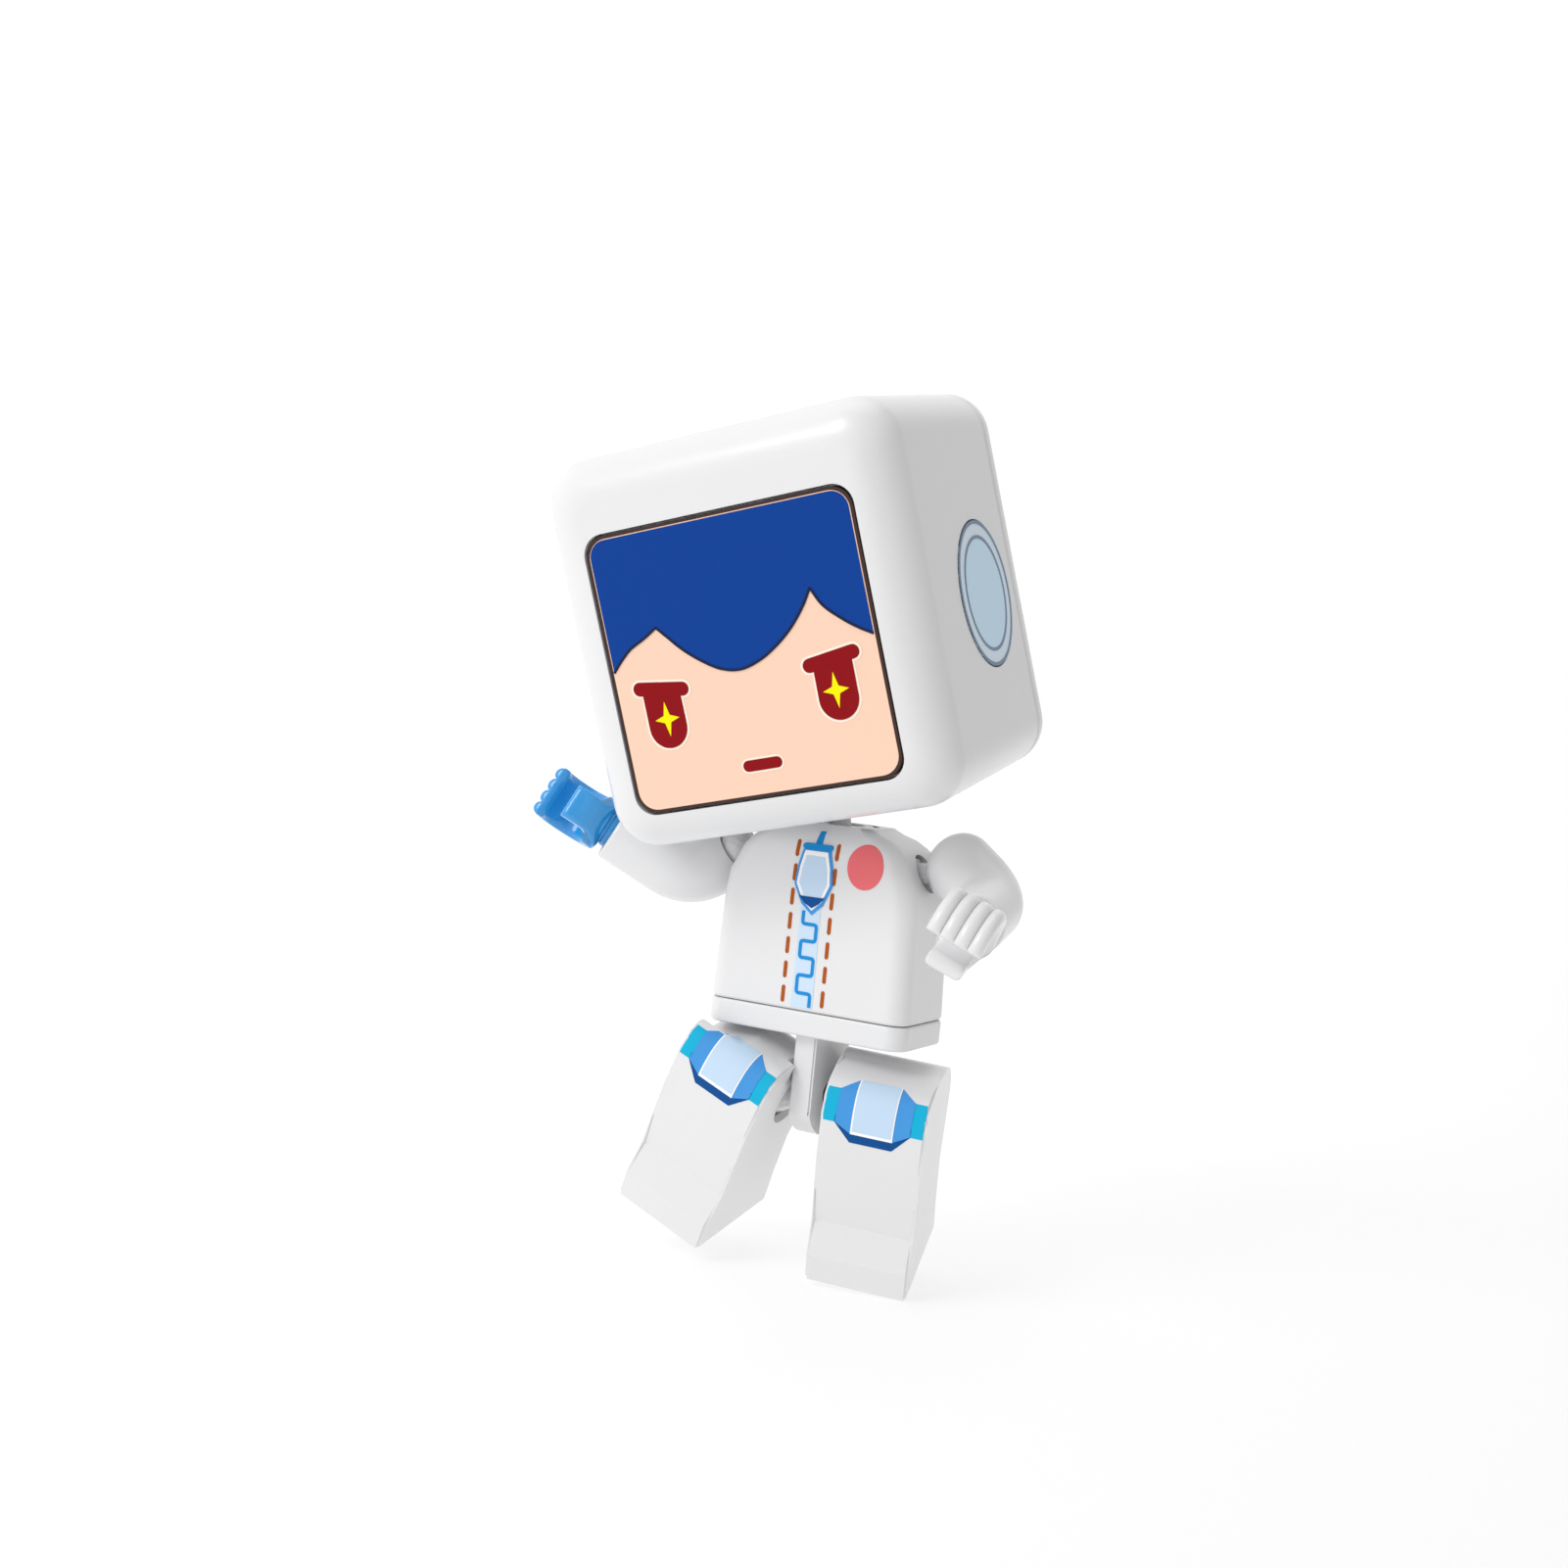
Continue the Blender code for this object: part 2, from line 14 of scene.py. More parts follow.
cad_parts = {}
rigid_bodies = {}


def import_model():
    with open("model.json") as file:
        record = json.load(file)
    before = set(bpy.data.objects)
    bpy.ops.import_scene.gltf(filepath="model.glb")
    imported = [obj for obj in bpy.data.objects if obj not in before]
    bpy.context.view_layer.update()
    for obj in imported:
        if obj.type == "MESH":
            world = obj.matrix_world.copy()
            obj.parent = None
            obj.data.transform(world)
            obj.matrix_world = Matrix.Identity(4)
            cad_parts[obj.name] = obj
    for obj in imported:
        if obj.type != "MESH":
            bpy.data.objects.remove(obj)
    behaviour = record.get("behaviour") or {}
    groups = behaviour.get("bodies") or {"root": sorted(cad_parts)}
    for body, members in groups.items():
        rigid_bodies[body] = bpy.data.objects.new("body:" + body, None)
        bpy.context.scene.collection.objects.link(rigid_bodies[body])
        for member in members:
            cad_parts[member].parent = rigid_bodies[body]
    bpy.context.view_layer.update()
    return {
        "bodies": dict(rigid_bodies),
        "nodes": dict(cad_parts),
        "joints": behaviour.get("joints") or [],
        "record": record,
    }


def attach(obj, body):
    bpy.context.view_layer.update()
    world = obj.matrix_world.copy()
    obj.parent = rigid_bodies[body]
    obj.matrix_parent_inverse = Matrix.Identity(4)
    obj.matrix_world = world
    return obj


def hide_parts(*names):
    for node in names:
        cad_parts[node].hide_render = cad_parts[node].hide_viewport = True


MM = 0.001
GAP = 0.3
SEAM = 0.07         # the fine line that shows between two pieces of one body
WAIST = Vector((2.356, 3.68, 18.012))

# Torso and waist
TORSO_W, TORSO_D = 15.8, 7.8
BELT_H = 1.74
TORSO_TOP = 15.1
TAPER_FROM = 9.6
TAPER_W = 11.4
TORSO_WALL = 1.2
WEB_W, WEB_DEPTH = 1.7, 5.6
PIN_Z = -4.5
PIN_R = 0.6

# Head
HEAD_W, HEAD_D, HEAD_H = 26.2, 21.9, 27.3
HEAD_EDGE = 3.15
HEAD_WALL = 1.7
COVER_T = 2.0
SCREEN_W, SCREEN_H, SCREEN_R = 19.8, 19.2, 1.5
SCREEN_T = 1.0
SCREEN_Z = -1.4
EAR_R, EAR_Y, EAR_Z = 5.1, 2.3, -0.8
EAR_T = 0.9
TOP_DISC_R = 2.5
NECK_BASE = Vector((0, 0, 16.3))
HEAD_SHIFT = Vector((0, -1.26, 14.09))
COLLAR_R = 2.3

# Arms and hands
SHOULDER = Vector((8.7, 0, 12.3))
SHOULDER_BALL_R = 1.6
SHOULDER_AXLE_R = 1.0
SOCKET_MOUTH_R = 4.4
UPPER_ARM, FOREARM = 4.2, 6.4
ELBOW_TURN = 62
ARM_OUT = 1.1
ARM_R, CUFF_R = 2.5, 2.15
WRIST_R, WRIST_LEN = 1.4, 2.6
GRIP_R, BORE_R = 2.75, 1.6
GRIP_REACH = 3.2
PALM_W = 4.0
MOUTH_AT, MOUTH_HALF = 55, 36

# Legs
LEG_W, LEG_INNER = 7.4, 1.7
BARREL_R = 3.6
HIP_X = 3.6
HIP_BALL_R = 2.1
SOLE_Z = -12.0
TOE_Y, HEEL_Y = -5.6, 4.6
STUD_R, STUD_DEPTH = 2.45, 3.0
SWING_ROOM = 12

# Pose in degrees
HEAD_POSE = (10.4, -13.9, 2.8)
ARM_POSE = {"l": (-26, -54, -24), "r": (-52, 32, 42)}
HAND_TURN = {"l": 98, "r": -100}
LEG_POSE = {"l": (17, 8.5, 13), "r": (11.5, 24.5, 0)}

KNEE_TILT = 30      # the knee print faces this much upward
DECAL_REACH = 6     # where a printed point that misses the surface looks for it
LAYER = 0.035       # height of one printed layer


# ---------------------------------------------------------------- shapes

def turn(swing=0, spread=0, twist=0):
    return Euler([math.radians(a) for a in (swing, spread, twist)], "ZYX").to_matrix().to_4x4()


def at(point):
    return Matrix.Translation(Vector(point))


def block(size, centre=(0, 0, 0)):
    bm = bmesh.new()
    bmesh.ops.create_cube(bm, size=1)
    bmesh.ops.scale(bm, vec=size, verts=bm.verts)
    bmesh.ops.translate(bm, vec=centre, verts=bm.verts)
    return bm


def ball(radius, centre=(0, 0, 0), rings=20):
    bm = bmesh.new()
    bmesh.ops.create_uvsphere(bm, u_segments=2 * rings, v_segments=rings, radius=radius)
    bmesh.ops.translate(bm, vec=centre, verts=bm.verts)
    return bm


def rod(radius, low, high, sides=48, far_radius=None):
    low, high = Vector(low), Vector(high)
    axis = high - low
    bm = bmesh.new()
    bmesh.ops.create_cone(
        bm, cap_ends=True, segments=sides, radius1=radius, radius2=far_radius or radius, depth=axis.length
    )
    spin = axis.to_track_quat("Z", "Y").to_matrix()
    bmesh.ops.rotate(bm, matrix=spin, verts=bm.verts)
    bmesh.ops.translate(bm, vec=(low + high) / 2, verts=bm.verts)
    return bm


def loft(rings, closed=False):
    bm = bmesh.new()
    loops = [[bm.verts.new(point) for point in ring] for ring in rings]
    count = len(loops[0])
    pairs = list(zip(loops, loops[1:]))
    if closed:
        pairs.append((loops[-1], loops[0]))
    for below, above in pairs:
        for i in range(count):
            j = (i + 1) % count
            bm.faces.new((below[i], below[j], above[j], above[i]))
    if not closed:
        bm.faces.new(loops[0])
        bm.faces.new(loops[-1])
    return bm


def turned(profile, sides=64, closed=False):
    """A solid of revolution about Z from (radius, height) points."""
    angles = [math.tau * i / sides for i in range(sides)]
    return loft([[(r * math.cos(a), r * math.sin(a), z) for a in angles] for r, z in profile], closed)


def arc(centre, radius, start, end, steps):
    angles = [math.radians(start + (end - start) * i / steps) for i in range(steps + 1)]
    return [(centre[0] + radius * math.cos(a), centre[1] + radius * math.sin(a)) for a in angles]


def rounded_outline(width, height, radius, steps=8):
    x, y = width / 2 - radius, height / 2 - radius
    corners = ((x, y, 0), (-x, y, 90), (-x, -y, 180), (x, -y, 270))
    return [p for cx, cy, a in corners for p in arc((cx, cy), radius, a, a + 90, steps)]


def sweep(path, radii, sides=48):
    points = [Vector(p) for p in path]
    rings = []
    side = Vector((1, 0, 0))
    for i, (point, radius) in enumerate(zip(points, radii)):
        along = (points[min(i + 1, len(points) - 1)] - points[max(i - 1, 0)]).normalized()
        side = (side - along * side.dot(along)).normalized()
        up = along.cross(side)
        angles = [math.tau * k / sides for k in range(sides)]
        rings.append([point + radius * (side * math.cos(a) + up * math.sin(a)) for a in angles])
    return loft(rings)


def flip(bm, side):
    if side == "r":
        bmesh.ops.scale(bm, vec=(-1, 1, 1), verts=bm.verts)
    return bm


def mirrored(side, point):
    return Vector((point[0] if side == "l" else -point[0], point[1], point[2]))


def side_turn(side, pose):
    swing, spread, twist = pose
    return turn(swing, spread, twist if side == "l" else -twist)


def smooth_line(points, steps=6):
    """A Catmull-Rom curve through 2-D points."""
    points = [Vector(p) for p in points]
    line = []
    for i in range(len(points) - 1):
        a, b = points[max(i - 1, 0)], points[i]
        c, d = points[i + 1], points[min(i + 2, len(points) - 1)]
        for k in range(steps):
            t = k / steps
            line.append(0.5 * (2 * b + (c - a) * t + (2 * a - 5 * b + 4 * c - d) * t * t
                               + (3 * b - a - 3 * c + d) * t ** 3))
    return line + [points[-1]]


def capsule(a, b, width, steps=10):
    """Outline of a straight bar with round ends."""
    a, b = Vector(a), Vector(b)
    lean = math.degrees(math.atan2(*(b - a).yx))
    return arc(b, width / 2, lean - 90, lean + 90, steps) + arc(a, width / 2, lean + 90, lean + 270, steps)


def ribbon(points, width):
    """Outline of a bent strip along 2-D points, its corners mitred."""
    points = [Vector(p) for p in points]
    runs = [(b - a).normalized() for a, b in zip(points, points[1:])]
    left, right = [], []
    for i, point in enumerate(points):
        before, after = runs[max(i - 1, 0)], runs[min(i, len(runs) - 1)]
        along = (before + after).normalized()
        across = Vector((-along.y, along.x)) * width / 2 / max(along.dot(after), 0.4)
        left.append(point + across)
        right.append(point - across)
    return left + right[::-1]


def eased(points, radius):
    """The same 2-D path with its corners rounded."""
    points = [Vector(p) for p in points]
    line = [points[0]]
    for before, corner, after in zip(points, points[1:], points[2:]):
        a = corner + (before - corner).normalized() * radius
        b = corner + (after - corner).normalized() * radius
        line += [a * (1 - t) ** 2 + corner * 2 * t * (1 - t) + b * t ** 2 for t in (0, 0.25, 0.5, 0.75, 1)]
    return line + [points[-1]]


def grown(outline, distance):
    """The outline moved outward by a small distance."""
    points = [Vector(p) for p in outline]
    count = len(points)
    area = sum(points[i].cross(points[(i + 1) % count]) for i in range(count))
    sign = 1 if area > 0 else -1
    moved = []
    for i in range(count):
        before, after = points[i] - points[i - 1], points[(i + 1) % count] - points[i]
        along = before.normalized() + after.normalized()
        if along.length < 1e-6:
            along = after
        along.normalize()
        moved.append(points[i] + Vector((along.y, -along.x)) * distance * sign)
    return moved


# ---------------------------------------------------------------- materials

def plastic(name, colour, roughness=0.3, coat=0.15, grain=0.12, cells=1400, specular=0.5):
    """Moulded or printed plastic: a fine uneven surface with slight changes in gloss and tone."""
    material = bpy.data.materials.new(name)
    material.use_nodes = True
    nodes, links = material.node_tree.nodes, material.node_tree.links
    shader = nodes["Principled BSDF"]
    shader.inputs["Coat Weight"].default_value = coat
    shader.inputs["Coat Roughness"].default_value = 0.12
    shader.inputs["IOR"].default_value = 1.5
    shader.inputs["Specular IOR Level"].default_value = specular
    place = nodes.new("ShaderNodeTexCoord")
    noise = nodes.new("ShaderNodeTexNoise")
    noise.inputs["Scale"].default_value = cells
    noise.inputs["Detail"].default_value = 4
    links.new(place.outputs["Object"], noise.inputs["Vector"])
    bump = nodes.new("ShaderNodeBump")
    bump.inputs["Strength"].default_value = grain
    bump.inputs["Distance"].default_value = 0.00003
    links.new(noise.outputs["Fac"], bump.inputs["Height"])
    links.new(bump.outputs["Normal"], shader.inputs["Normal"])
    broad = nodes.new("ShaderNodeTexNoise")
    broad.inputs["Scale"].default_value = cells * 0.12
    links.new(place.outputs["Object"], broad.inputs["Vector"])
    gloss = nodes.new("ShaderNodeMapRange")
    gloss.inputs["To Min"].default_value = roughness * 0.88
    gloss.inputs["To Max"].default_value = roughness * 1.12
    links.new(broad.outputs["Fac"], gloss.inputs["Value"])
    links.new(gloss.outputs["Result"], shader.inputs["Roughness"])
    tone = nodes.new("ShaderNodeMixRGB")
    tone.inputs["Color1"].default_value = (*[c * 0.985 for c in colour], 1)
    tone.inputs["Color2"].default_value = (*colour, 1)
    links.new(broad.outputs["Fac"], tone.inputs["Fac"])
    links.new(tone.outputs["Color"], shader.inputs["Base Color"])
    return material


def srgb(code):
    """Linear colour from a six-digit code."""
    parts = [int(code[i:i + 2], 16) / 255 for i in (0, 2, 4)]
    return tuple(c / 12.92 if c <= 0.04045 else ((c + 0.055) / 1.055) ** 2.4 for c in parts)


def steel(name):
    material = plastic(name, srgb("B4B6BA"), 0.32, 0.0, 0.3)
    material.node_tree.nodes["Principled BSDF"].inputs["Metallic"].default_value = 1.0
    return material


def palette():
    inks = {
        "skin": "F9D2BA", "hair": "003E94", "ink": "46342F", "hair_line": "1E2440", "wine": "8E0510",
        "halo": "FFF3E2", "sparkle": "FFF000", "ear_line": "7F93A9", "ear_ring": "DDEBF7", "ear": "CFE8FA",
        "tape": "CFE3F7", "zip": "1E8FD5", "stitch": "B0561C", "badge": "EF7479", "cyan": "17B4DC",
        "mid_blue": "4A9AE0", "light_blue": "C8DFF5", "navy": "0B4F92", "pure": "FFFFFF",
    }
    made = {name: plastic(f"print_{name}", srgb(code), 0.42, 0.0, 0.05, specular=0.12) for name, code in inks.items()}
    made["white"] = plastic("white_plastic", (0.79, 0.79, 0.797), 0.3, 0.2)
    made["blue"] = plastic("blue_plastic", srgb("2F98DC"), 0.16, 0.5, 0.06)
    made["steel"] = steel("pin_metal")
    return made


# ---------------------------------------------------------------- making pieces

def mesh_object(name, bm, frame):
    """An object whose vertices hold figure millimetres."""
    bmesh.ops.recalc_face_normals(bm, faces=bm.faces)
    mesh = bpy.data.meshes.new(name)
    bm.to_mesh(mesh)
    bm.free()
    mesh.transform(frame)
    if frame.determinant() < 0:
        mesh.flip_normals()
    thing = bpy.data.objects.new(name, mesh)
    bpy.context.collection.objects.link(thing)
    return thing


def carve(thing, solids):
    """Apply each (operation, solid, frame) to the object's mesh."""
    helpers = []
    for operation, bm, frame in solids:
        helper = mesh_object("helper", bm, frame)
        helpers.append(helper)
        step = thing.modifiers.new("step", "BOOLEAN")
        step.operation = operation
        step.solver = "EXACT"
        step.object = helper
    shaped = bpy.data.meshes.new_from_object(thing.evaluated_get(bpy.context.evaluated_depsgraph_get()))
    old = thing.data
    thing.modifiers.clear()
    thing.data = shaped
    shaped.name = old.name
    bpy.data.meshes.remove(old)
    for helper in helpers:
        mesh = helper.data
        bpy.data.objects.remove(helper)
        bpy.data.meshes.remove(mesh)


def piece(name, body, bm, frame, material, solids=(), smooth=40, replaces=()):
    """A finished piece on a body; it returns the piece's surface in figure millimetres."""
    thing = mesh_object(name, bm, frame)
    if solids:
        carve(thing, solids)
    mesh = thing.data
    surface = BVHTree.FromPolygons([v.co for v in mesh.vertices], [p.vertices for p in mesh.polygons])
    mesh.transform(Matrix.Scale(MM, 4) @ at(WAIST))
    mesh.materials.clear()
    mesh.materials.append(material)
    mesh.shade_smooth()
    mesh.set_sharp_from_angle(angle=math.radians(smooth))
    even = thing.modifiers.new("even", "WEIGHTED_NORMAL")
    even.keep_sharp = True
    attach(thing, body)
    if replaces:
        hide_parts(*replaces)
    return surface


def decal(name, body, outline, material, surface, frame, layer=1, step=0.6, depth=0.12):
    """A printed shape: an outline in the frame's XY plane pressed along its -Z onto a surface."""
    bm = bmesh.new()
    bm.faces.new([bm.verts.new((p[0], p[1], 0)) for p in outline])
    spans = [(min(p[axis] for p in outline), max(p[axis] for p in outline)) for axis in (0, 1)]
    for axis, (low, high) in enumerate(spans):
        normal = Vector((1 - axis, axis, 0))
        for k in range(math.ceil(low / step), math.floor(high / step) + 1):
            bmesh.ops.bisect_plane(bm, geom=bm.verts[:] + bm.edges[:] + bm.faces[:],
                                   plane_co=normal * (k * step + 1e-4), plane_no=normal, dist=1e-6)
    aim = -(frame.to_3x3() @ Vector((0, 0, 1))).normalized()
    for vertex in bm.verts:
        start = frame @ vertex.co
        vertex.co = surface.ray_cast(start, aim)[0] or surface.find_nearest(start + aim * DECAL_REACH)[0]
    bm.normal_update()
    spread = bmesh.ops.extrude_face_region(bm, geom=bm.faces[:])
    raised = [item for item in spread["geom"] if isinstance(item, bmesh.types.BMVert)]
    for vertex in bm.verts:
        vertex.co += aim * depth
    for vertex in raised:
        vertex.co -= aim * (depth + layer * LAYER)
    piece(name, body, bm, Matrix(), material, smooth=30)


# ---------------------------------------------------------------- head

def head_frame():
    spin = Euler([math.radians(a) for a in HEAD_POSE], "XYZ").to_matrix().to_4x4()
    return at(NECK_BASE) @ spin @ at(HEAD_SHIFT)


def head_block(inset, front, rear, edge=HEAD_EDGE, rear_edge=0.0):
    """The head's box between two depths, its front edges rounded and its rear edge eased."""
    edge = edge - inset * 0.6
    width, height = HEAD_W - 2 * inset, HEAD_H - 2 * inset
    levels = [(edge * (1 - math.sin(a)), front + edge * (1 - math.cos(a)))
              for a in (math.radians(9 * i) for i in range(11))]
    levels += [(rear_edge * (1 - math.cos(a)), rear - rear_edge * (1 - math.sin(a)))
               for a in (math.radians(22.5 * i) for i in range(5))] if rear_edge else [(0, rear)]
    rings = []
    for shrink, y in levels:
        outline = rounded_outline(width - 2 * shrink, height - 2 * shrink, max(edge - shrink * 0.55, 0.3), 10)
        rings.append([(x, y, z) for x, z in outline])
    return loft(rings)


def head(ink):
    frame = head_frame()
    front, rear = -HEAD_D / 2, HEAD_D / 2
    seam = rear - COVER_T - GAP
    recess = rounded_outline(SCREEN_W + 0.3, SCREEN_H + 0.3, SCREEN_R)
    hole = loft([[(x, y, z + SCREEN_Z) for x, z in recess] for y in (front - 2, front + SCREEN_T + GAP)])
    solids = [("DIFFERENCE", head_block(HEAD_WALL, front + HEAD_WALL + SCREEN_T, seam + 5), frame),
              ("DIFFERENCE", hole, frame)]
    for sign in (-1, 1):
        side = sign * HEAD_W / 2
        ear = rod(EAR_R + 0.1, (side + sign, EAR_Y, EAR_Z), (side - sign * EAR_T, EAR_Y, EAR_Z), 96)
        top = Vector((sign * HEAD_W / 4, 2.0, HEAD_H / 2))
        disc = rod(TOP_DISC_R + 0.08, top + Vector((0, 0, 1)), top - Vector((0, 0, 0.9)), 64)
        solids += [("DIFFERENCE", ear, frame), ("DIFFERENCE", disc, frame)]
    low = -HEAD_SHIFT
    solids.append(("DIFFERENCE", rod(3.2, low + Vector((0, 0, -1)), low + Vector((0, 0, 3))), frame))
    piece("head_box", "head", head_block(0, front, seam, rear_edge=0.15), frame, ink["white"], solids,
          replaces=["head_shell"], smooth=30)
    cover_levels = [(0.15, rear - COVER_T), (0, rear - COVER_T + 0.15)]
    cover_levels += [(1.4 * (1 - math.cos(a)), rear - 1.4 * (1 - math.sin(a)))
                     for a in (math.radians(15 * i) for i in range(7))]
    cover = loft([[(x, y, z) for x, z in rounded_outline(HEAD_W - 2 * s, HEAD_H - 2 * s, HEAD_EDGE - s * 0.5, 10)]
                  for s, y in cover_levels])
    lip = HEAD_WALL + 2 * GAP
    rim = rounded_outline(HEAD_W - 2 * lip, HEAD_H - 2 * lip, HEAD_EDGE)
    tongue = loft([[(x, y, z) for x, z in rim] for y in (rear - COVER_T - 1.4, rear - COVER_T + 0.5)])
    piece("head_rear", "head", cover, frame, ink["white"], [("UNION", tongue, frame)],
          replaces=["head_back_cover"], smooth=30)
    face(frame, ink)
    for name, sign in (("l", 1), ("r", -1)):
        ear_marks(frame, name, sign, ink)
        top_marks(frame, name, sign, ink)


def flat_art(name, frame, outline, layer, material, base=0.0, body="head"):
    """A thin printed slab parallel to the face; its outline is in the screen's own axes."""
    front = -HEAD_D / 2 + 0.1
    depths = (front + base, front - layer * LAYER)
    slab = loft([[(p[0], y, p[1] + SCREEN_Z) for p in outline] for y in depths])
    piece(name, body, slab, frame, material, smooth=30)


def hair_outline():
    """Hair from the screen's top edge down to its wavy lower boundary, and that boundary's three runs."""
    boundary = [
        [(-9.62, 0.35), (-8.9, 1.05), (-8.0, 1.75), (-6.9, 2.25), (-5.8, 2.85)],
        [(-5.8, 2.85), (-5.1, 2.1), (-4.1, 1.05), (-2.9, 0.1), (-1.6, -0.65), (-0.2, -0.92), (1.3, -0.55),
         (2.7, 0.2), (4.0, 1.2), (5.1, 2.4), (5.85, 3.5)],
        [(5.85, 3.5), (6.5, 2.25), (7.6, 1.2), (8.6, 0.45), (9.62, -0.15)],
    ]
    lines = [smooth_line(part) for part in boundary]
    low = [p for line in lines for p in line]
    half, top, radius = 9.62, SCREEN_H / 2 - 0.28, SCREEN_R - 0.28
    crown = arc((half - radius, top - radius), radius, 0, 90, 8)
    crown += arc((-half + radius, top - radius), radius, 90, 180, 8)
    points = [Vector(p) for p in low + crown]
    return [p for i, p in enumerate(points) if (p - points[i - 1]).length > 1e-3], lines


def eye_shapes(sign):
    """Outlines of one eye: lash bar, eye body and sparkle."""
    lash = capsule((sign * 4.75, -1.5), (sign * 7.95, -1.06), 0.95)
    body = [(sign * 4.98, -1.4), (sign * 4.95, -3.9)]
    body += [(sign * (6.37 - 1.42 * math.cos(a)), -3.9 - 1.45 * math.sin(a))
             for a in (math.radians(9 * i) for i in range(1, 20))]
    body += [(sign * 7.79, -3.9), (sign * 7.8, -1.2)]
    star = []
    for i in range(4):
        a = math.radians(90 * i + 90)
        b = a + math.radians(45)
        star += [(sign * 6.3 + 0.93 * math.cos(a), -3.35 + 1.2 * math.sin(a)),
                 (sign * 6.3 + 0.33 * math.cos(b), -3.35 + 0.36 * math.sin(b))]
    return lash, body, star


def face(frame, ink):
    front = -HEAD_D / 2
    outline = rounded_outline(SCREEN_W, SCREEN_H, SCREEN_R)
    slab = loft([[(x, y, z + SCREEN_Z) for x, z in outline] for y in (front + 0.1, front + SCREEN_T)])
    piece("face_plate", "head", slab, frame, ink["ink"], replaces=["face_panel"])
    skin = rounded_outline(SCREEN_W - 0.42, SCREEN_H - 0.42, SCREEN_R - 0.15)
    flat_art("face_skin", frame, skin, 1, ink["skin"])
    hair, boundary = hair_outline()
    for k, line in enumerate(boundary):
        flat_art(f"hair_line_{k}", frame, ribbon(line, 0.17), 3, ink["hair_line"])
    flat_art("hair", frame, hair, 2, ink["hair"])
    for name, sign in (("l", 1), ("r", -1)):
        lash, body, star = eye_shapes(sign)
        flat_art(f"eye_halo_{name}", frame, grown(body, 0.16), 2, ink["halo"])
        flat_art(f"lash_halo_{name}", frame, grown(lash, 0.16), 2.2, ink["halo"])
        flat_art(f"eye_{name}", frame, body, 3, ink["wine"])
        flat_art(f"lash_{name}", frame, lash, 3.2, ink["wine"])
        flat_art(f"sparkle_{name}", frame, star, 4, ink["sparkle"])
    flat_art("mouth_halo", frame, capsule((-1.05, -7.4), (1.08, -7.4), 1.04), 2, ink["halo"])
    flat_art("mouth", frame, capsule((-1.05, -7.4), (1.08, -7.4), 0.76), 3, ink["wine"])


def hoop(outer, inner, low, high, sides=96):
    return turned([(inner, low), (outer, low), (outer, high), (inner, high)], sides, closed=True)


def ear_marks(frame, name, sign, ink):
    """Two printed rings round a pale disc, set into the side of the head."""
    place = frame @ at((sign * HEAD_W / 2, EAR_Y, EAR_Z)) @ Matrix.Rotation(sign * math.pi / 2, 4, "Y")
    split, deep = EAR_R * 0.78, -EAR_T + GAP
    piece(f"ear_plate_{name}", "head", hoop(EAR_R, split, deep, 0.03), place, ink["ear_ring"],
          replaces=[f"ear_ring_{name}"])
    piece(f"ear_centre_{name}", "head", turned([(split - 0.08, deep), (split - 0.08, 0.0), (split - 0.2, 0.05)]),
          place, ink["ear"], replaces=[f"ear_disc_{name}"])
    for k, (outer, width) in enumerate(((EAR_R, 0.24), (split + 0.08, 0.22))):
        piece(f"ear_line_{name}{k}", "head", hoop(outer, outer - width, -0.2, 0.07), place, ink["ear_line"])


def top_marks(frame, name, sign, ink):
    place = frame @ at((sign * HEAD_W / 4, 2.0, HEAD_H / 2))
    piece(f"crown_disc_{name}", "head", turned([(TOP_DISC_R, -0.6), (TOP_DISC_R, 0.0), (TOP_DISC_R - 0.1, 0.05)]),
          place, ink["ear"], replaces=[f"top_disc_{name}"])
    piece(f"crown_line_{name}", "head", hoop(TOP_DISC_R, TOP_DISC_R - 0.22, -0.2, 0.07), place, ink["ear_line"])


# ---------------------------------------------------------------- torso and waist

def torso_level(width, depth, z, corner=1.4):
    return [(x, y, z) for x, y in rounded_outline(width, depth, corner)]


